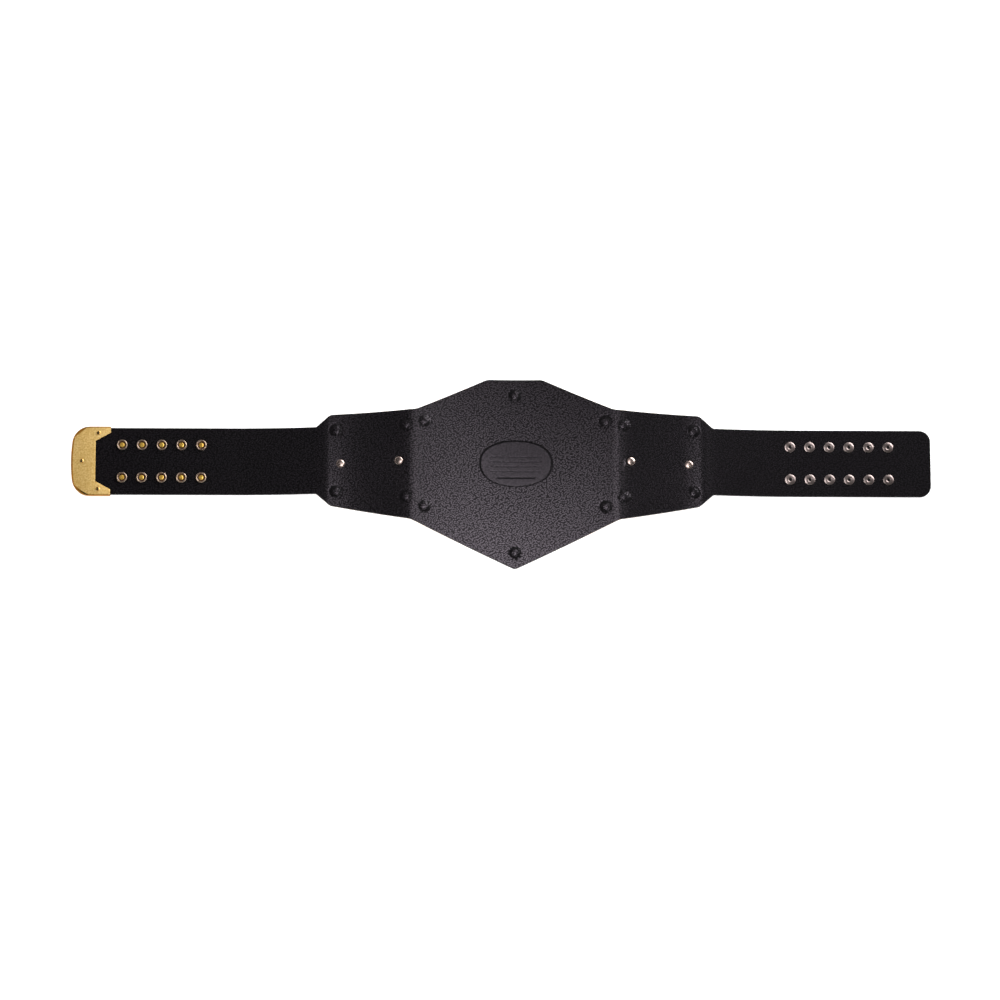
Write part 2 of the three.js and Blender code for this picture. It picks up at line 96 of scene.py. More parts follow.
def cut_for_bends(bm, height, cut_angle=math.radians(0.8)):
    """Cuts a flat piece across, once for each cut_angle of the bends, so that it can follow them."""
    low = min(vertex.co.x for vertex in bm.verts)
    high = max(vertex.co.x for vertex in bm.verts)
    cuts = {0.0}
    for side, bends in belt_bends.items():
        for x, _, slope, turn, _, _, end_slope in bends:
            steps = math.ceil(abs(end_slope - slope) / cut_angle)
            for step in range(1, steps + 1):
                here = slope + (end_slope - slope) * step / steps
                at = x + turn * (math.sin(here) - math.sin(slope))
                cuts.add(side * (at - height * math.sin(here)))
    for cut in sorted(cuts):
        if low < cut < high:
            whole = bm.verts[:] + bm.edges[:] + bm.faces[:]
            bmesh.ops.bisect_plane(bm, geom=whole, dist=0.001, plane_co=(cut, 0, 0),
                                   plane_no=(1, 0, 0))


def lay_on_belt(bm, raised=None):
    """Bends a flat piece, whose z is the height above the strap's face, to the belt's line."""
    for vertex in bm.verts:
        x, y, height = vertex.co
        foot = x
        for _ in range(8):  # enough for the foot of the normal to settle
            foot = x + height * math.sin(line_at(foot)[1])
        z, slope = line_at(foot)
        if raised:
            height += raised(foot, y, slope)
        vertex.co = (foot - height * math.sin(slope), y, z + height * math.cos(slope))


def rounded_face(bm, corners, z):
    """One flat face through corners (x, y, radius), rounded where they have a radius."""
    vertices = [bm.verts.new((x, y, z)) for x, y, _ in corners]
    bm.faces.new(vertices)
    for vertex, (_, _, radius) in zip(vertices, corners):
        if radius:
            reach = radius * math.tan(vertex.calc_edge_angle() / 2)
            bmesh.ops.bevel(bm, geom=[vertex], offset=reach, affect="VERTICES", segments=10,
                            profile=0.5, material=-1)
    return bm.faces[:][0]


def step_in(bm, faces, thickness, depth):
    """Draws faces in from their rim, leaving a new rim round them, and moves them up by depth."""
    rim = bmesh.ops.inset_region(bm, faces=faces, use_boundary=True, use_even_offset=True,
                                 thickness=thickness, depth=0)["faces"]
    for vertex in {vertex for face in faces for vertex in face.verts}:
        vertex.co.z += depth
    return rim


same_place = 0.0005  # vertices closer than this are one


def finish_piece(bm, name, materials, replaced, sharp=35):
    """Turns a mesh made in millimetres into a finished piece that stands for its CAD nodes. Edges
    of more than sharp degrees stay crisp."""
    bmesh.ops.remove_doubles(bm, verts=bm.verts[:], dist=same_place)
    bmesh.ops.recalc_face_normals(bm, faces=bm.faces[:])
    bmesh.ops.scale(bm, vec=(0.001, 0.001, 0.001), verts=bm.verts[:])
    for face in bm.faces:
        face.smooth = True
    for edge in bm.edges:
        edge.smooth = len(edge.link_faces) == 2 and edge.calc_face_angle() < math.radians(sharp)
    mesh = bpy.data.meshes.new(name)
    bm.to_mesh(mesh)
    bm.free()
    for material in materials:
        mesh.materials.append(material)
    piece = bpy.data.objects.new(name, mesh)
    bpy.context.scene.collection.objects.link(piece)
    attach(piece, "root")
    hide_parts(*replaced)


class Wire:
    """A value in a material's nodes. Sums on it add the Math nodes that work them out."""

    def __init__(self, tree, socket=None):
        self.tree = tree
        self.socket = socket

    def node(self, kind, settings, inputs, output=0):
        """Any node, its settings given first and then the values or links of its sockets."""
        made = self.tree.nodes.new(kind)
        for name, value in settings.items():
            setattr(made, name, value)
        for name, value in inputs.items():
            if isinstance(value, Wire):
                self.tree.links.new(value.socket, made.inputs[name])
            else:
                made.inputs[name].default_value = value
        return Wire(self.tree, made.outputs[output])

    def maths(self, operation, *values):
        return self.node("ShaderNodeMath", {"operation": operation}, dict(enumerate(values)))

    def between(self, low, high):
        """0 below low, 1 above high, and a soft step from one to the other."""
        return self.node("ShaderNodeMapRange", {"interpolation_type": "SMOOTHSTEP"},
                         {"Value": self, "From Min": low, "From Max": high})

    def __add__(self, other):
        return self.maths("ADD", self, other)

    def __radd__(self, other):
        return self.maths("ADD", other, self)

    def __sub__(self, other):
        return self.maths("SUBTRACT", self, other)

    def __rsub__(self, other):
        return self.maths("SUBTRACT", other, self)

    def __mul__(self, other):
        return self.maths("MULTIPLY", self, other)

    def __rmul__(self, other):
        return self.maths("MULTIPLY", other, self)

    def __pow__(self, other):
        return self.maths("POWER", self, other)

    def __abs__(self):
        return self.maths("ABSOLUTE", self)


def noise(place, cell, detail=3.0, roughness=0.55):
    """Cloudy noise from 0 to 1 whose patches are about a cell wide, in millimetres."""
    inputs = {"Vector": place, "Scale": 1000 / cell, "Detail": detail, "Roughness": roughness}
    return place.node("ShaderNodeTexNoise", {}, inputs)


def blended(factor, first, second):
    """A colour between two colours, given as red, green and blue."""
    return factor.node("ShaderNodeMix", {"data_type": "RGBA"},
                       {0: factor, 6: (*first, 1), 7: (*second, 1)}, output=2)


def new_finish(name, constants):
    """A material with its shader's fixed values set, its shader, and the place on the piece."""
    material = bpy.data.materials.new(name)
    material.use_nodes = True
    tree = material.node_tree
    shader = tree.nodes["Principled BSDF"]
    for socket, value in constants.items():
        shader.inputs[socket].default_value = value
    place = Wire(tree).node("ShaderNodeTexCoord", {}, {}, output="Object")
    return material, shader, place


def dress(shader, colour=None, roughness=None, metallic=None, relief=None, depth=0.1):
    """Links what varies over a surface to its shader; relief from 0 to 1 is depth mm high."""
    tree = shader.id_data
    for name, value in (("Base Color", colour), ("Roughness", roughness), ("Metallic", metallic)):
        if value:
            tree.links.new(value.socket, shader.inputs[name])
    if relief:
        inputs = {"Height": relief, "Distance": depth / 1000, "Strength": 1.0}
        bump = relief.node("ShaderNodeBump", {}, inputs)
        tree.links.new(bump.socket, shader.inputs["Normal"])


def pebble(place, cell):
    """Printed leather grain, 1 on the pebbles and 0 in the valleys: pebbles of about a cell,
    strung out in slanting wavy rows."""
    sway = (noise(place, cell * 4, 1.0) - 0.5) * (cell / 900)
    swayed = place.node("ShaderNodeCombineXYZ", {}, {"X": sway, "Y": sway})
    turned = place.node("ShaderNodeMapping", {}, {
        "Vector": place, "Rotation": (0, 0, math.radians(-38)), "Scale": (0.7, 1, 1)})
    bent = place.node("ShaderNodeVectorMath", {"operation": "ADD"}, {0: turned, 1: swayed})
    cells = place.node("ShaderNodeTexVoronoi", {"voronoi_dimensions": "2D"}, {
        "Vector": bent, "Scale": 1000 / cell, "Randomness": 1.0}, output="Distance")
    return 1 - cells.between(0.12, 0.62)


def black_leather(name, grain_cell, grain_depth, roughness, colour, worn_colour):
    """Smooth dyed leather, paler where it is rubbed."""
    material, shader, place = new_finish(name, {
        "Specular IOR Level": 0.5, "Specular Tint": (1.0, 0.87, 1.0, 1)})
    grain = pebble(place, grain_cell)
    pores = noise(place, 0.7, 2.0)
    patches = noise(place, 60, 4.0)
    rubbed = noise(place, 9, 5.0, 0.7).between(0.52, 0.72)
    shade = (0.35 + 0.65 * grain) * (0.45 + 0.4 * patches) + 0.25 * rubbed
    dress(shader,
          colour=blended(shade, colour, worn_colour),
          roughness=roughness + 0.06 * (patches - 0.5) + 0.06 * (1 - grain) - 0.03 * rubbed,
          relief=grain * 0.94 + pores * 0.06, depth=grain_depth)
    return material


strap_leather = black_leather("strap_leather_black", grain_cell=3.2, grain_depth=0.1, roughness=0.2,
                              colour=(0.0015, 0.0013, 0.0016), worn_colour=(0.006, 0.0053, 0.0062))


def dyed_edge_finish():
    """The black dye on cut edges, with the layers of the hide just showing through."""
    material, shader, place = new_finish("dyed_edge", {"Specular IOR Level": 0.4})
    layers = noise(place, 1.3, 3.0)
    wear = noise(place, 14, 5.0, 0.7).between(0.55, 0.75)
    dress(shader,
          colour=blended(0.5 * layers + 0.4 * wear, (0.003, 0.0027, 0.003), (0.02, 0.018, 0.019)),
          roughness=0.42 + 0.2 * layers, relief=layers, depth=0.08)
    return material


dyed_edge = dyed_edge_finish()

strap_half = 51.0
strap_end_x = 630.5
tip_end_x = -668.7
leather_start_x = tip_end_x + 6  # in the tip cap
corner_cut_x, corner_cut_y = 18, 15  # off the leather's corners in the tip cap

# The leather's outline from the top round to the tip of the hexagon, and back on the left, as
# corners (x, y, radius)
right_edge = [
    (41.75, 127, 18), (149, 78, 25), (278.5, 69.5, 12), (299.5, strap_half, 5),
    (strap_end_x, strap_half, 17), (strap_end_x, -strap_half, 17),
    (299.5, -strap_half, 5), (278.5, -69.5, 12), (158, -90, 25), (0, -163.5, 9),
]
left_edge = [
    (-158, -90, 25), (-278.5, -69.5, 12), (-299.5, -strap_half, 5),
    (leather_start_x + corner_cut_x, -strap_half, 0),
    (leather_start_x, corner_cut_y - strap_half, 0),
    (leather_start_x, strap_half - corner_cut_y, 0),
    (leather_start_x + corner_cut_x, strap_half, 0),
    (-299.5, strap_half, 5), (-278.5, 69.5, 12), (-149, 78, 25), (-41.75, 127, 18),
]

# Places of the fixings, on the strap's face
tip_length = 59.3
tip_inner_x = tip_end_x + tip_length
snap_pitch = 29.8
first_cap_x = tip_inner_x + 17.3
last_stud_x = strap_end_x - 64.5
rivet_x, rivet_y = tip_inner_x - 18.3, 43
snap_rows = {"top": 24.9, "bottom": -24.9}
caps = [(f"{row}_{i + 1}", first_cap_x + i * snap_pitch, y)
        for row, y in snap_rows.items() for i in range(5)]
studs = [(f"{row}_{i + 1}", last_stud_x + (i - 5) * snap_pitch, y)
         for row, y in snap_rows.items() for i in range(6)]
rivets = [("middle", tip_end_x + 16.3, 0), ("top", rivet_x, rivet_y), ("bottom", rivet_x, -rivet_y)]
panel_screws = [(164.93, 54), (164.93, -56), (270.5, 46), (270.5, -48)]
covered_screws = [(0, 103), (0, -138.5), (-137, 60), (137, 60), (-137, -70.5), (137, -70.5)]
covered_screws += [(side * x, y) for side in (-1, 1) for x, y in panel_screws]
bare_screws = [("left_inner", -174.43, -1), ("left_outer", -263, -5),
               ("right_inner", 174.43, -1), ("right_outer", 263, -5)]

# Radii of the holes punched for the fixings
post_hole = 2.5
rivet_hole = 1.7
window_radius = 8.5  # of the lining's, round a bare screw

# The lining over a covered screw: how far from the screw it is drawn, in how many rings
bump_reach = 13.0
bump_rings = 10
bump_ring_width = 1.1
bulge_shade_radius, bulge_shade_width = 7.4, 2.0  # radius and width of the ring of painted shade on each bulge's side
oval_room = (60, 40)  # half the sides of a box round the pressed oval


def ring(bm, x, y, radius, z, segments):
    """A circle of edges, returned as its vertices in order."""
    return bmesh.ops.create_circle(bm, cap_ends=False, segments=segments, radius=radius,
                                   matrix=Matrix.Translation((x, y, z)))["verts"]


def edges_of(vertices):
    return list({edge for vertex in vertices for edge in vertex.link_edges})


def leather_piece(name, seen, hidden, finishes, raised=None, stamp=None):
    """A layer of the strap with one rounded, seen face and one flat, hidden one. The finishes are
    the leather's, its edge's, and its bare edge's round the bare screws. The raised function
    gives the bulges over the covered screws, and stamp draws the pressed oval's outline."""
    up = math.copysign(1, seen - hidden)
    bm = bmesh.new()
    rims = ((0.15, 0.4), (0.25, 0.2), (0.35, 0.1))  # the shaved edge, as steps inward and up
    drop = sum(rise for _, rise in rims)
    face = rounded_face(bm, right_edge + left_edge, seen - up * drop)
    edge_faces = []
    for inward, rise in rims:
        edge_faces += step_in(bm, [face], inward, up * rise)
    step_in(bm, [face], 0.8, 0)
    border = face.edges[:]
    bmesh.ops.delete(bm, geom=[face], context="FACES_ONLY")

    holes = [ring(bm, x, y, post_hole, seen, 12) for _, x, y in caps + studs]
    holes += [ring(bm, x, y, rivet_hole, seen, 12) for _, x, y in rivets]
    discs = []
    windows = []
    if raised:
        discs = [ring(bm, x, y, bump_reach, seen, 48) for x, y in covered_screws]
        windows = [ring(bm, x, y, window_radius, seen, 48) for _, x, y in bare_screws]
    else:
        holes += [ring(bm, x, y, post_hole, seen, 12) for x, y in covered_screws]
        holes += [ring(bm, x, y, post_hole, seen, 12) for _, x, y in bare_screws]
    stamped = stamp(bm) if stamp else []
    inside = [vertex for hole in holes + discs + windows for vertex in hole] + stamped
    bmesh.ops.triangle_fill(bm, use_beauty=True, use_dissolve=False, normal=(0, 0, 1),
                            edges=border + edges_of(inside))

    domes = [bm.faces.new(disc) for disc in discs]
    if domes:
        for _ in range(bump_rings):
            step_in(bm, domes, bump_ring_width, 0)
        bmesh.ops.poke(bm, faces=domes)
    openings = [bm.faces.new(window) for window in windows]
    if openings:  # whose cut edges are a little pressed down
        step_in(bm, openings, 0.8, 0)
        edge_faces += step_in(bm, openings, 0.3, -up * 0.25)
        bmesh.ops.delete(bm, geom=openings, context="FACES_ONLY")
    if stamped:  # a groove, with the oval inside it almost as high as the leather round it
        seal = [bm.faces.new(stamped)]
        for inward, rise in ((0.8, 0), (0.5, -0.8), (0.8, 0), (0.9, 0.55), (0.8, 0)):
            step_in(bm, seal, inward, rise)

    doubled = bmesh.ops.extrude_face_region(bm, geom=bm.faces[:])["geom"]
    for part in doubled:
        if isinstance(part, bmesh.types.BMVert):
            part.co.z = hidden
    bmesh.ops.recalc_face_normals(bm, faces=bm.faces[:])
    walls = [face for face in bm.faces if abs(face.normal.z) < 0.5]
    for face in [face for face in edge_faces if face.is_valid] + walls:
        centre = face.calc_center_median()
        near = [screw for screw, x, y in bare_screws
                if math.dist((x, y), centre[:2]) < window_radius - 0.5]
        face.material_index = 2 if near and raised else 1
    for face in walls:
        centre = face.calc_center_median()
        if stamped and abs(centre.x) < oval_room[0] and abs(centre.y) < oval_room[1]:
            face.material_index = 0  # a steep side of the pressed oval, which isn't a cut edge
    cut_for_bends(bm, (seen + hidden) / 2)
    if raised:
        # The attribute pressed holds how much painted shade each vertex on a bulge's side gets
        pressed = bm.verts.layers.float.new("pressed")
        for vertex in bm.verts:
            off = min(math.dist(vertex.co[:2], screw) for screw in covered_screws)
            vertex[pressed] = math.exp(-((off - bulge_shade_radius) / bulge_shade_width) ** 2)
    lay_on_belt(bm, raised)
    finish_piece(bm, name, finishes, [name.replace("_piece", "")])


leather_piece("strap_leather_piece", 0, strap_thickness, [strap_leather, dyed_edge])


# The lining: thin pebbled leather glued to the strap's back. It bulges over the covered screw
# heads, is punched out round four bare ones, and has a plain oval pressed into its middle.
gap = 0.3
lining_thickness = 1.5
lining_bottom = strap_thickness + gap
lining_top = lining_bottom + lining_thickness
bump_height = 2.1
bump_flat = 2.4  # radius of the bulge's top, where the screw head presses
bump_radius = 9.6
foot_width, foot_depth = 1.1, 0.3  # of the shallow ring pressed round a bulge
oval_x, oval_y = 2, -2
oval_half_length, oval_half_width = 55.8, 36
oval_power = 2.2  # a little boxier than an ellipse


def bulge(x, y, slope):
    """How far the lining stands up over a covered screw head, with the pressed ring round it."""
    for screw_x, screw_y in covered_screws:
        off = math.hypot((x - screw_x) / math.cos(slope), y - screw_y)
        if off < bump_reach:
            share = min(1.0, max(0.0, (off - bump_flat) / (bump_radius - bump_flat)))
            foot = math.exp(-((off - bump_radius) / foot_width) ** 2)
            return bump_height * (0.5 + 0.5 * math.cos(math.pi * share)) - foot_depth * foot
    return 0.0


def oval_ring(bm):
    """The outline of the pressed oval."""
    vertices = ring(bm, 0, 0, 1, lining_top, 120)
    for vertex in vertices:
        along = math.copysign(abs(vertex.co.x) ** (2 / oval_power), vertex.co.x)
        across = math.copysign(abs(vertex.co.y) ** (2 / oval_power), vertex.co.y)
        vertex.co = (oval_x + oval_half_length * along, oval_y + oval_half_width * across, lining_top)
    return vertices


def band(value, rise, fall):
    """1 where a value lies between rise and fall, each a soft step from one number to another."""
    return value.between(*rise) * (1 - value.between(*fall))


def lining_finish():
    """Pebbled black leather, pressed smooth in the oval, where a few plain lines are ruled, with
    painted shade in its grain's valleys, its grooves and on the sides of its bulges.
    """
    material, shader, place = new_finish("lining_leather_pebbled", {
        "Specular IOR Level": 0.5, "Specular Tint": (1.0, 0.87, 1.0, 1)})
    split = place.node("ShaderNodeSeparateXYZ", {}, {"Vector": place})
    x, y = split, Wire(split.tree, split.socket.node.outputs["Y"])
    seal_length, seal_width = oval_half_length - 0.6, oval_half_width - 0.6
    rim = (abs((x - oval_x / 1000) * (1000 / seal_length)) ** oval_power
           + abs((y - oval_y / 1000) * (1000 / seal_width)) ** oval_power)
    outside = rim.between(0.84, 1.0)
    crease = band(rim, (0.87, 0.94), (0.98, 1.05))
    # In metres from the middle: straps and panels are worn smoother, and the ridges rougher
    off = abs(x)
    middle = 1 - off.between(0.142, 0.164)
    ridge = band(off, (0.136, 0.152), (0.158, 0.178)) + 0.6 * band(off, (0.25, 0.272), (0.29, 0.31))
    grain = pebble(place, 2.1)
    pores = noise(place, 0.8, 2.0)
    patches = noise(place, 70, 4.0)
    rubbed = noise(place, 8, 5.0, 0.7).between(0.52, 0.72)

    def ruled(at_y, half_length, half_width):
        """A plain ruled line across the oval, in millimetres, that fades at its sides and ends."""
        level = 1 - abs(y - at_y / 1000).between(half_width * 0.0006, half_width * 0.0014)
        end = half_length / 1000
        return level * (1 - abs(x - 0.0015).between(end - 0.003, end))

    lines = ruled(-24, 31, 1.2)
    for line_y in (-14, -6.5, 1, 8.5):
        lines = lines + 0.35 * ruled(line_y, 40, 0.9)
    shade = (0.3 + 0.7 * grain) * (0.55 + 0.5 * patches) + 0.25 * rubbed
    surface = (grain * 0.94 + pores * 0.06) * (0.3 + 0.7 * outside) * (0.4 + 0.6 * middle)
    dress(shader,
          colour=blended(shade, (0.0014, 0.0012, 0.0014), (0.0135, 0.0118, 0.0138)),
          roughness=0.18 + 0.07 * middle + 0.14 * ridge + 0.06 * (patches - 0.5) - 0.03 * rubbed,
          relief=surface - 2 * lines, depth=0.1)

    # Painted shade: a dark, dull shader is mixed into the grain's valleys, the crease round the oval,
    # the ruled lines and the sides of the bulges, where shade falls
    sunk = place.node("ShaderNodeBsdfPrincipled", {}, {
        "Base Color": (0.0022, 0.0019, 0.0022, 1), "Roughness": 0.7, "Specular IOR Level": 0.06})
    # The ring of painted shade on the bulges' sides, read from the attribute pressed
    pressed = place.node("ShaderNodeAttribute", {"attribute_name": "pressed"}, {}, output="Fac")
    # How much of the painted shade each place gets
    painted_shade_share = (1 - grain) * (0.5 + 0.3 * outside) + 0.75 * crease + 0.85 * lines + 0.7 * pressed
    painted_shade_amount = painted_shade_share.maths("MINIMUM", painted_shade_share, 1.0)
    skin = painted_shade_amount.node("ShaderNodeMixShader", {}, {
        0: painted_shade_amount, 1: Wire(split.tree, shader.outputs[0]), 2: sunk})
    split.tree.links.new(skin.socket, split.tree.nodes["Material Output"].inputs["Surface"])
    return material


def raw_edge_finish():
    """The undyed cut edge of the lining round the bare screws."""
    material, shader, place = new_finish("raw_leather_edge", {"Specular IOR Level": 0.3})
    fibres = noise(place, 0.5, 4.0)
    dress(shader, colour=blended(fibres, (0.16, 0.11, 0.10), (0.42, 0.33, 0.30)),
          roughness=0.8 + 0.1 * fibres, relief=fibres, depth=0.1)
    return material


leather_piece("lining_leather_piece", lining_top, lining_bottom,
              [lining_finish(), dyed_edge, raw_edge_finish()],
              raised=bulge, stamp=oval_ring)


# The main plate: a curved zinc casting, gold-plated, on the hidden face of the middle. Its front
# has a raised rim and a raised oval, and lies on the table.
def gold_plate_finish(name, roughness, pale, deep, metal=0.6):
    """Satin gold plating with fine polishing lines, small pits and darker tarnished patches."""
    material, shader, place = new_finish(name, {"Specular IOR Level": 0.5})
    stretched = place.node("ShaderNodeMapping", {}, {"Vector": place, "Scale": (0.08, 1, 1)})
    lines = noise(stretched, 0.8, 3.0)
    mottle = noise(place, 2.6, 3.0, 0.6)
    tarnish = noise(place, 22, 4.0)
    shade = (0.15 * lines + 0.65 * mottle + 0.2 * tarnish).between(0.36, 0.64)
    dress(shader, colour=blended(shade, deep, pale), metallic=metal + 0.1 * (tarnish - 0.5),
          roughness=roughness + 0.12 * (mottle - 0.5) + 0.1 * (tarnish - 0.5),
          relief=0.6 * mottle + 0.4 * lines, depth=0.02)
    return material


gold_plate = gold_plate_finish("gold_plate_satin", 0.55, (1.0, 0.72, 0.29), (0.76, 0.46, 0.12))


plate_corner = 6
plate_relief = 1.2  # of the rim and the raised middle over the sunk ground


def cast_plate(name, corners, rim_flat, boss_x, boss_y, boss_size):
    """A cast plate: its front is sunk between a raised rim, rim_flat wide on its top, and a raised
    middle."""
    bm = bmesh.new()
    front, back = -plate_depth, -gap
    rounding = ((0.2, -0.5), (0.5, -0.3), (0.4, -0.1))
    face = rounded_face(bm, corners, back)
    step_in(bm, [face], 0.5, 0)
    lid = bmesh.ops.extrude_face_region(bm, geom=bm.faces[:])["geom"]
    for part in lid:
        if isinstance(part, bmesh.types.BMVert):
            part.co.z = front - sum(drop for _, drop in rounding)
    seen = [part for part in lid if isinstance(part, bmesh.types.BMFace)]
    flat = max(seen, key=lambda part: part.calc_area())
    for inward, drop in rounding + ((rim_flat, 0),):
        step_in(bm, [flat], inward, drop)
    border = flat.edges[:]
    bmesh.ops.delete(bm, geom=[flat], context="FACES_ONLY")
    boss = ring(bm, 0, 0, 1, 0, 64)
    size_x, size_y = boss_size
    for vertex in boss:
        vertex.co = (boss_x + size_x * vertex.co.x, boss_y + size_y * vertex.co.y, front)
    floor = bmesh.ops.triangle_fill(bm, use_beauty=True, use_dissolve=False, normal=(0, 0, 1),
                                    edges=border + edges_of(boss))["geom"]
    sunk = [part for part in floor if isinstance(part, bmesh.types.BMFace)]
    raised_middle = [bm.faces.new(boss)]
    for inward, rise in ((0.35, 0.3), (0.7, plate_relief - 0.3)):
        step_in(bm, sunk, inward, rise)
    for inward, rise in ((6.0, 0), (1.0, 0.6)):
        step_in(bm, raised_middle, inward, rise)
    bmesh.ops.recalc_face_normals(bm, faces=bm.faces[:])
    cut_for_bends(bm, (front + back) / 2)
    lay_on_belt(bm)
    finish_piece(bm, f"{name}_piece", [gold_plate], [name], sharp=50)


def main_plate_corners():
    """The plate's edges run a margin inside the hexagon of the leather."""
    margin, end_x = 9.0, 145.0
    (shoulder_x, shoulder_y, _), (upper_x, upper_y, _) = right_edge[:2]
    (lower_x, lower_y, _), (_, tip_y, _) = right_edge[-2:]
    top_y = shoulder_y - margin
    upper_slope = (upper_y - shoulder_y) / (upper_x - shoulder_x)
    lower_slope = (lower_y - tip_y) / lower_x
    upper_inset = margin * math.hypot(1, upper_slope)
    lower_inset = margin * math.hypot(1, lower_slope)
    upper = [shoulder_y + upper_slope * (x - shoulder_x) - upper_inset for x in (0, end_x)]
    lower = [tip_y + lower_slope * x + lower_inset for x in (0, end_x)]
    top_x = (top_y - upper[0]) / upper_slope
    right = [(top_x, top_y), (end_x, upper[1]), (end_x, lower[1])]
    left = [(-x, y) for x, y in reversed(right)]
    return [(x, y, plate_corner) for x, y in right + [(0, lower[0])] + left]


cast_plate("main_plate", main_plate_corners(), 6.2, 0, -8, (62, 46))


# The two side plates: smaller gold-plated zinc castings, each on the hidden face of a side panel
# and tapered like it. Their raised middles are round.
inner_x, outer_x = 157.93, 277.0
middle_y = -1
inner_half, outer_half = 65, 57
for side_name, side in (("left", -1), ("right", 1)):
    tapered = [(side * inner_x, middle_y + inner_half, plate_corner),
               (side * outer_x, middle_y + outer_half, plate_corner),
               (side * outer_x, middle_y - outer_half, plate_corner),
               (side * inner_x, middle_y - inner_half, plate_corner)]
    cast_plate(f"side_plate_{side_name}", tapered, 3.8, side * (inner_x + outer_x) / 2, middle_y,
               (34, 34))


# The covered screws: flat-headed nickel screws that hold the plates from behind, under the lining.
# Only their bulges show, so the CAD's own screws stay.
def nickel_finish(name, pale, deep, roughness):
    """Nickel plating, a little pitted and hazed, warm where it has yellowed."""
    material, shader, place = new_finish(name, {"Specular IOR Level": 0.5})
    haze = noise(place, 6.0, 3.0)
    pits = noise(place, 0.5, 2.0).between(0.55, 0.8)
    dress(shader, colour=blended(haze, deep, pale), metallic=0.9 + 0.08 * haze,
          roughness=roughness + 0.12 * (haze - 0.5) + 0.2 * pits,
          relief=0.5 * haze - 0.5 * pits, depth=0.01)
    return material


nickel = nickel_finish("nickel_plate", (0.50, 0.40, 0.36), (0.28, 0.21, 0.19), 0.26)
for node_name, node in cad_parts.items():
    if node_name.startswith(("main_screw", "side_screw")):
        node.data.materials.clear()
        node.data.materials.append(nickel)


# The bare screws: turned and nickel-plated, with domed heads that stand in holes punched in the
# lining. Two hold each side plate, by threads in the casting.
post_end = -1.8  # where posts and pins end, beyond the strap's face


def seat_at(x, y):
    """A place on the strap's face, with Z along the strap's normal there."""
    z, slope = line_at(x)
    return Matrix.Translation((x, y, z)) @ Matrix.Rotation(-slope, 4, "Y")


def turned_piece(name, profile, x, y, finishes, replaced, segments, bands=()):
    """A turned piece standing on the strap: profile is (radius, height) from below upwards, and
    bands are (least height, most radius, finish number) for faces with a finish of their own."""
    bm = bmesh.new()
    points = [bm.verts.new((radius, 0, height)) for radius, height in profile]
    for lower, upper in zip(points, points[1:]):
        bm.edges.new((lower, upper))
    bmesh.ops.spin(bm, geom=bm.verts[:] + bm.edges[:], cent=(0, 0, 0), axis=(0, 0, 1),
                   dvec=(0, 0, 0), angle=2 * math.pi, steps=segments, use_merge=True,
                   use_duplicate=False)
    bmesh.ops.remove_doubles(bm, verts=bm.verts[:], dist=same_place)
    for face in bm.faces:
        centre = face.calc_center_median()
        off = math.hypot(centre.x, centre.y)
        for least_height, most_radius, number in bands:
            if centre.z > least_height and off < most_radius:
                face.material_index = number
    bmesh.ops.transform(bm, matrix=seat_at(x, y), verts=bm.verts[:])
    finish_piece(bm, name, finishes, replaced, sharp=40)


def domed_head(post_radius, seat, radius, height, steps=9):
    """The profile of a post with a domed head that rests on its seat."""
    profile = [(0, post_end), (post_radius, post_end), (post_radius, seat), (radius * 0.96, seat),
               (radius, seat + height * 0.08)]
    for step in range(steps + 1):
        angle = math.pi / 2 * step / steps
        profile.append((radius * math.cos(angle) ** 0.8 if step < steps else 0,
                        seat + height * (0.15 + 0.85 * math.sin(angle))))
    return profile


for screw_name, x, y in bare_screws:
    screw_profile = domed_head(post_radius=2.2, seat=lining_bottom, radius=6.5, height=3.3)
    turned_piece(f"bare_screw_{screw_name}", screw_profile, x, y, [nickel],
                 [f"insert_screw_{screw_name}"], segments=48)


# The tip cap: a gold tray that the strap's end lies in, and a cover riveted over it. The cover is
# cut out where the leather goes in, and its cut corners leave the tray's rim showing.
pocket_half = strap_half + gap
tip_half = pocket_half + 1.4  # with the tray's wall
tray_floor = 3.2
cover_thickness = 1.5
cover_bottom = tip_level + lining_top + gap
cover_top = cover_bottom + cover_thickness
tip_arc = 240  # radius of the cap's bowed end
tip_corner = 26.5
pocket_arc = 270
bow_wall = 2.7  # the tray's wall at its bowed end
# A darker copy of the gold plating for the tray: painted shade for its rim line
rim_gold_painted_shade = gold_plate_finish("gold_plate_rim_painted_shade", 0.45, (0.50, 0.24, 0.035), (0.36, 0.15, 0.02))


def arc_on(bm, start, centre, angle, steps):
    """Turns a new arc of edges on from a vertex, and returns its vertices in order."""
    points = [start]
    x, y = centre
    for _ in range(steps):
        turned = bmesh.ops.spin(bm, geom=[points[-1]], cent=(x, y, 0), axis=(0, 0, 1),
                                dvec=(0, 0, 0), angle=angle / steps, steps=1, use_merge=False,
                                use_duplicate=False)
        points += [part for part in turned["geom_last"] if isinstance(part, bmesh.types.BMVert)]
    return points[1:]


def pocket_line(bm, inset, z):
    """The pocket's line, drawn in by inset, from its open end at the top, round the bowed end, to
    the open end below."""
    half = pocket_half - inset
    bow_x = tip_end_x + bow_wall + inset
    cut_y = half - corner_cut_y
    lean = math.asin(cut_y / pocket_arc)
    cut_x = bow_x + pocket_arc * (1 - math.cos(lean))
    points = [bm.verts.new((tip_inner_x, half, z)), bm.verts.new((cut_x + corner_cut_x, half, z)),
              bm.verts.new((cut_x, cut_y, z))]
    points += arc_on(bm, points[-1], (bow_x + pocket_arc, 0), 2 * lean, 14)
    points += [bm.verts.new((cut_x + corner_cut_x, -half, z)), bm.verts.new((tip_inner_x, -half, z))]
    return points


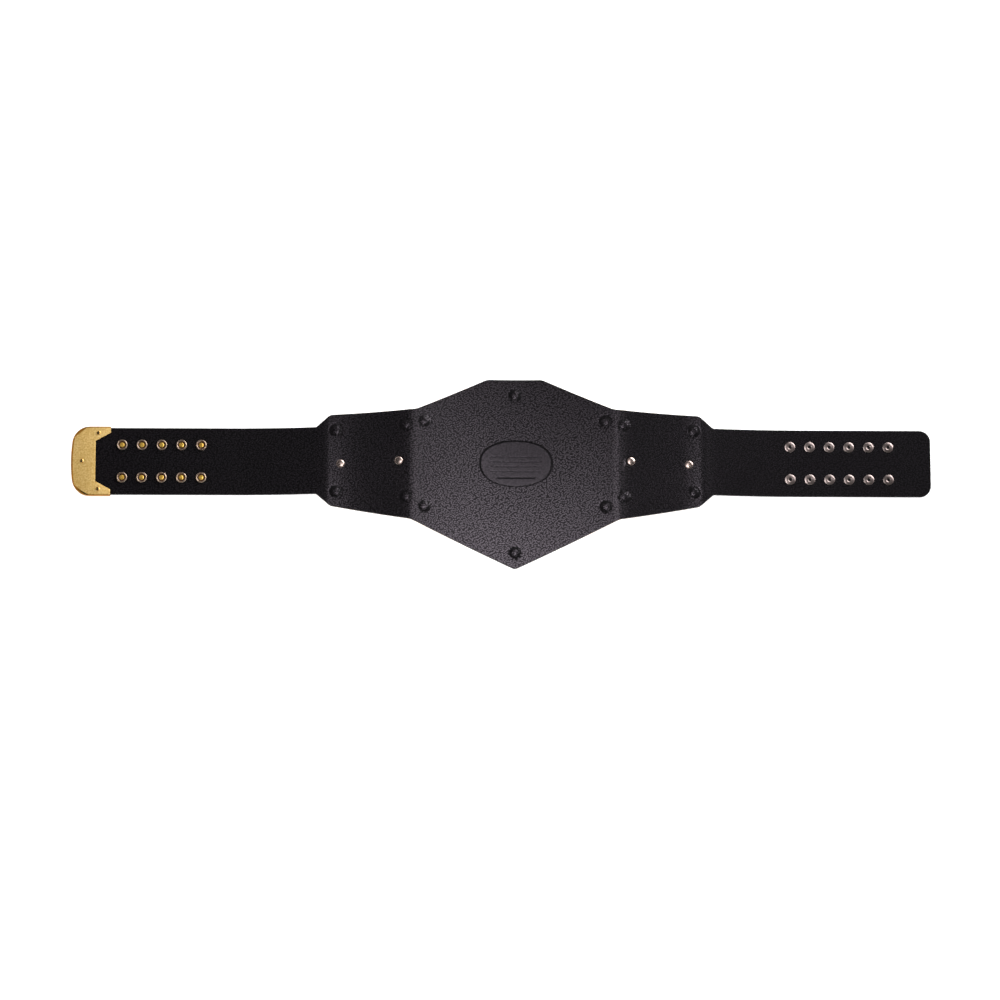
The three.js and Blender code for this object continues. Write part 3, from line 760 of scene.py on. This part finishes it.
def round_rim(bm, z, width, segments=3):
    """Rounds the sharp edges that lie at height z."""
    rim = [edge for edge in bm.edges if edge.is_manifold and edge.calc_face_angle() > 1
           and all(abs(vertex.co.z - z) < 0.01 for vertex in edge.verts)]
    bmesh.ops.bevel(bm, geom=rim, offset=width, affect="EDGES", segments=segments, profile=0.5,
                    material=-1, clamp_overlap=True)


def tip_tray_piece():
    """The tray: a floor with a wall round it, open where the leather goes in."""
    bm = bmesh.new()
    bow_x = tip_end_x + tip_arc
    corner_y = tip_half - tip_corner
    corner_x = bow_x - math.sqrt((tip_arc - tip_corner) ** 2 - corner_y ** 2)
    lean = math.atan2(corner_y, bow_x - corner_x)
    outer = [bm.verts.new((tip_inner_x, tip_half, 0)), bm.verts.new((corner_x, tip_half, 0))]
    outer += arc_on(bm, outer[-1], (corner_x, corner_y), math.pi / 2 - lean, 12)
    outer += arc_on(bm, outer[-1], (bow_x, 0), 2 * lean, 16)
    outer += arc_on(bm, outer[-1], (corner_x, -corner_y), math.pi / 2 - lean, 12)
    outer.append(bm.verts.new((tip_inner_x, -tip_half, 0)))
    pocket = pocket_line(bm, 0, 0)
    wall = bm.faces.new(outer + pocket[::-1])
    floor = bm.faces.new(pocket)
    bmesh.ops.recalc_face_normals(bm, faces=[wall, floor])
    if wall.normal.z > 0:
        bmesh.ops.reverse_faces(bm, faces=[wall, floor])
    slab = bmesh.ops.extrude_face_region(bm, geom=[wall, floor])["geom"]
    tops = [part for part in slab if isinstance(part, bmesh.types.BMFace)]
    for vertex in {vertex for top in tops for vertex in top.verts}:
        vertex.co.z = tray_floor
    wall_top = max(tops, key=lambda top: len(top.verts))
    risen = bmesh.ops.extrude_face_region(bm, geom=[wall_top])["geom"]
    for part in risen:
        if isinstance(part, bmesh.types.BMVert):
            part.co.z = cover_top
    underside = [face for face in bm.faces if all(vertex.co.z < 0.01 for vertex in face.verts)]
    bmesh.ops.dissolve_faces(bm, faces=underside)
    bmesh.ops.recalc_face_normals(bm, faces=bm.faces[:])
    round_rim(bm, 0, 1.6, 4)
    round_rim(bm, cover_top, 0.55)
    finish_piece(bm, "tip_tray_piece", [rim_gold_painted_shade], ["tip_tray"], sharp=40)


def tip_cover_piece():
    """The cover: a sheet that fills the tray's opening, with a notch for the leather."""
    bm = bmesh.new()
    line = pocket_line(bm, 0.15, cover_bottom)
    notch_x = tip_inner_x - 22.6
    notch_half, mouth_half = 31, 43.4
    notch = [bm.verts.new((x, y, cover_bottom)) for x, y in (
        (tip_inner_x, -mouth_half), (notch_x, -notch_half), (notch_x, notch_half),
        (tip_inner_x, mouth_half))]
    sheet = bm.faces.new(line + notch)
    lid = bmesh.ops.extrude_face_region(bm, geom=[sheet])["geom"]
    for part in lid:
        if isinstance(part, bmesh.types.BMVert):
            part.co.z = cover_top
    bmesh.ops.recalc_face_normals(bm, faces=bm.faces[:])
    round_rim(bm, cover_top, 0.4)
    finish_piece(bm, "tip_cover_piece", [gold_plate], ["tip_cover"], sharp=40)


tip_tray_piece()
tip_cover_piece()


# The tip cap's rivets: three gold-plated pins with domed heads, pressed through the cover and the
# leather into the tray, which holds the strap's end in the cap.
rivet_seat = lining_top + gap + cover_thickness
pin_gold = gold_plate_finish("pin_gold", 0.22, (0.95, 0.66, 0.26), (0.62, 0.36, 0.10), metal=0.93)
for rivet_name, x, y in rivets:
    rivet_profile = domed_head(post_radius=1.4, seat=rivet_seat, radius=3.1, height=1.7)
    turned_piece(f"tip_rivet_{rivet_name}_piece", rivet_profile, x, y, [pin_gold],
                 [f"tip_rivet_{rivet_name}"], segments=32)


# The snap caps: domed gold caps on the face, whose posts are riveted to ring sockets on the
# lining. Each socket is a rolled nickel ring round a recess with a bright brass middle; the recess is
# coloured dark as painted shade.
snap_back = lining_top + gap
socket_nickel = nickel_finish("socket_nickel", (0.62, 0.49, 0.38), (0.36, 0.26, 0.20), 0.32)
brass_middle = gold_plate_finish("brass_middle", 0.3, (1.0, 0.68, 0.16), (0.72, 0.40, 0.06),
                                 metal=0.7)
# The socket's recess, coloured nearly black as painted shade
socket_recess_shade = gold_plate_finish("socket_recess_painted_shade", 0.5, (0.09, 0.034, 0.013),
                                (0.035, 0.014, 0.007), metal=0.3)


def socket_profile():
    """From the cap's dome on the face, through the leather, to the socket's rolled ring."""
    cap = [(0, -2.8), (3.0, -2.75), (5.2, -2.4), (6.8, -1.7), (7.7, -0.7), (7.6, -gap), (2.2, -gap)]
    ring_foot = [(2.2, snap_back), (7.4, snap_back), (8.0, snap_back + 0.35)]
    roll = []
    roll_centre, roll_width, roll_base, roll_height = 6.9, 1.1, snap_back + 0.85, 1.35
    for degrees in range(10, 171, 20):
        angle = math.radians(degrees)
        roll.append((roll_centre + roll_width * math.cos(angle),
                     roll_base + roll_height * math.sin(angle)))
    middle = [(5.8, snap_back + 0.6), (5.5, snap_back + 0.35), (3.8, snap_back + 0.35),
              (3.6, snap_back + 0.7), (3.1, snap_back + 1.1), (2.0, snap_back + 1.4),
              (0.9, snap_back + 1.5), (0.6, snap_back + 1.2), (0, snap_back + 1.15)]
    return cap + ring_foot + roll + middle


for cap_name, x, y in caps:
    turned_piece(f"snap_cap_{cap_name}_piece", socket_profile(), x, y,
                 [gold_plate, socket_nickel, socket_recess_shade, brass_middle],
                 [f"snap_cap_{cap_name}"], segments=36,
                 bands=((snap_back - 0.1, 9, 1), (snap_back, 5.86, 2), (snap_back + 0.4, 3.75, 3)))


# The snap studs: posts on the face that snap into the sockets, riveted to nickel eyelets whose
# flanges show on the lining, domed and dark in the middle.
stud_nickel = nickel_finish("stud_nickel", (0.50, 0.41, 0.39), (0.28, 0.22, 0.21), 0.3)


def eyelet_profile():
    """From the stud on the face, through the leather, to the eyelet's flange and its hole."""
    stud = [(0, -3.8), (2.6, -3.8), (3.0, -3.5), (3.04, -2.9), (2.65, -1.8), (3.2, -0.9),
            (6.2, -0.6), (6.4, -gap), (2.2, -gap)]
    flange = [(2.2, snap_back), (7.7, snap_back), (8.0, snap_back + 0.12), (7.9, snap_back + 0.3),
              (7.0, snap_back + 0.62), (5.6, snap_back + 0.95), (4.4, snap_back + 1.15),
              (3.6, snap_back + 1.15), (3.0, snap_back + 0.95), (2.7, snap_back + 0.6),
              (2.4, snap_back + 0.1), (2.1, snap_back - 1.2), (0, snap_back - 1.2)]
    return stud + flange


for stud_name, x, y in studs:
    turned_piece(f"snap_stud_{stud_name}_piece", eyelet_profile(), x, y,
                 [stud_nickel, dyed_edge], [f"snap_stud_{stud_name}"], segments=36,
                 bands=((snap_back - 2, 2.75, 1),))


# The table: a wide sheet of white board that the belt lies on. It glows a little, so the belt
# hardly casts a shadow on it, as on the white ground of the photograph.
table_radius = 14  # in metres, as is all that follows
table_drop = 0.0006  # below the belt, so that the two don't flicker into each other
table_mesh = bmesh.new()
bmesh.ops.create_circle(table_mesh, cap_ends=True, segments=64, radius=table_radius,
                        matrix=Matrix.Translation((0, 0, -table_drop)))
table_data = bpy.data.meshes.new("table")
table_mesh.to_mesh(table_data)
table_mesh.free()
table = bpy.data.objects.new("table", table_data)
bpy.context.scene.collection.objects.link(table)
table_white, _, _ = new_finish("table_white", {
    "Base Color": (0.8, 0.8, 0.8, 1), "Roughness": 0.9, "Specular IOR Level": 0.1,
    "Emission Color": (1, 0.995, 0.99, 1), "Emission Strength": 0.72})
table_data.materials.append(table_white)


# Studio light: a room that is pale low down and dark above, so that shiny leather mirrors either
# white or black. Five soft boxes hang over the middle, where the leather shines grey, and large
# lamps stand at the sides. The two fill lamps light the gold and don't show in reflections.
room = bpy.data.worlds.new("studio")
room.use_nodes = True
room_tree = room.node_tree
direction = Wire(room_tree).node("ShaderNodeTexCoord", {}, {}, output="Generated")
split_direction = direction.node("ShaderNodeSeparateXYZ", {}, {"Vector": direction})
height = Wire(room_tree, split_direction.socket.node.outputs["Z"])
room_light = blended(height.between(0.1, 0.32), (1.0, 0.99, 0.98), (0.01, 0.01, 0.011))
background = room_tree.nodes["Background"]
room_tree.links.new(room_light.socket, background.inputs["Color"])
bpy.context.scene.world = room


def soft_box(name, place, aim, size_x, size_y, brightness, mirrored=True):
    """A rectangular lamp that the camera doesn't see. Its power goes with its area, so lamps of
    one brightness look equally bright."""
    lamp = bpy.data.lights.new(name, "AREA")
    lamp.shape = "RECTANGLE"
    lamp.size, lamp.size_y = size_x, size_y
    lamp.energy = brightness * 4 * size_x * size_y
    box = bpy.data.objects.new(name, lamp)
    box.location = place
    box.rotation_euler = (Vector(aim) - Vector(place)).to_track_quat("-Z", "Y").to_euler()
    box.visible_camera = False
    box.visible_glossy = mirrored
    bpy.context.scene.collection.objects.link(box)


soft_box("soft_box", (0.0, -0.055, 0.55), (0.0, -0.055, 0), 0.42, 0.59, 0.52)
soft_box("middle_strip", (0.0, -0.13, 0.56), (0.0, -0.13, 0), 0.42, 0.44, 0.64)
soft_box("near_strip", (0.0, -0.18, 0.57), (0.0, -0.18, 0), 0.42, 0.34, 2.8)
soft_box("right_strip", (0.15, -0.055, 0.54), (0.15, -0.055, 0), 0.13, 0.59, 1.8)
soft_box("left_strip", (-0.165, -0.055, 0.54), (-0.165, -0.055, 0), 0.1, 0.59, 0.42)
soft_box("side_lamp", (1.9, 1.9, 1.0), (0, 0, 0), 3.0, 1.8, 7.6)
soft_box("left_fill", (-2.8, 0.4, 1.0), (0, 0, 0), 3.4, 1.6, 3.7, mirrored=False)
soft_box("near_fill", (0.4, -2.8, 1.0), (0, 0, 0), 3.4, 1.6, 3.4, mirrored=False)

# The camera: nearly straight above the belt, and so far off that the view is almost flat
view_middle = (-0.022, -0.0561, 0)
view_distance = 6.0
view_turn, view_tilt = math.radians(-8.7), math.radians(10)
view_roll = math.radians(8.76)
camera_data = bpy.data.cameras.new("camera")
camera_data.lens = 143.0
camera_data.sensor_width = 36
camera_data.clip_end = 60
camera = bpy.data.objects.new("camera", camera_data)
swung = Matrix.Rotation(view_turn, 4, "Z") @ Matrix.Rotation(view_tilt, 4, "X")
camera.matrix_world = (Matrix.Translation(view_middle) @ swung
                       @ Matrix.Translation((0, 0, view_distance))
                       @ Matrix.Rotation(view_roll, 4, "Z"))
bpy.context.scene.collection.objects.link(camera)
bpy.context.scene.camera = camera
bpy.context.scene.view_settings.view_transform = "Standard"
